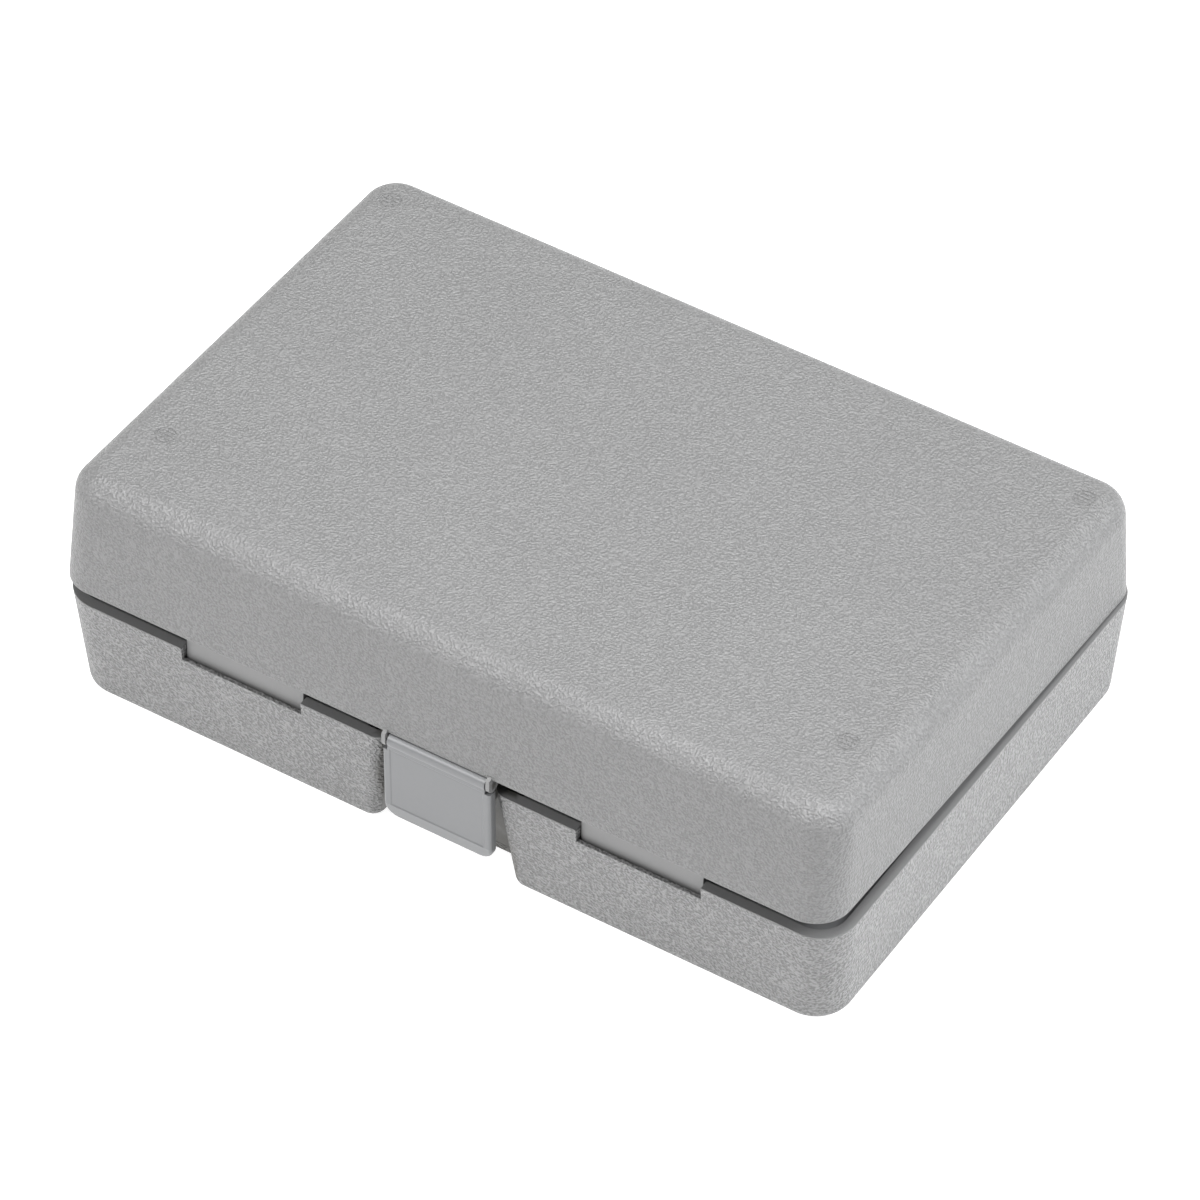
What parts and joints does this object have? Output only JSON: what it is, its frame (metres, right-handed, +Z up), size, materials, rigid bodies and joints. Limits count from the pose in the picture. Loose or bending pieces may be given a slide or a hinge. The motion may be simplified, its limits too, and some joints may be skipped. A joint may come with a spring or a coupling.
{
  "type": "micrometer case",
  "caption": "Hinged two-part moulded plastic case for an outside micrometer, with fitted nest tray, foam-padded lid, rear pin hinges and a front snap tab.",
  "frame": {"origin": "middle of the base's underside", "axes": "+X right along the longest side, +Y to the hinges, -Y to the snap tab, +Z up"},
  "size_m": [0.1612, 0.1136, 0.0507],
  "materials": {
    "grained_plastic": "leather-grained light grey moulding",
    "smooth_plastic": "smooth satin light grey",
    "insert_plastic": "smooth satin grey",
    "foam": "dark open foam",
    "steel": "drawn wire"
  },
  "bodies": {
    "base": {"base_shell": "grained_plastic", "base_tray": "insert_plastic", "hinge_pin_left": "steel", "hinge_pin_right": "steel"},
    "lid": {"lid_shell": "grained_plastic", "lid_liner": "insert_plastic", "lid_pad": "foam", "latch_pin": "steel"},
    "latch": {"latch_tab": "smooth_plastic"}
  },
  "joints": [
    {"name": "lid_hinge", "type": "hinge", "parent": "base", "child": "lid", "pos_m": [0, 0.0561, 0.02338], "axis": [-1, 0, 0], "range_deg": [0, 177.75]},
    {"name": "latch_swing", "type": "hinge", "parent": "lid", "child": "latch", "pos_m": [0.00105, -0.05319, 0.02587], "axis": [-1, 0, 0], "range_deg": [0, 60]}
  ]
}
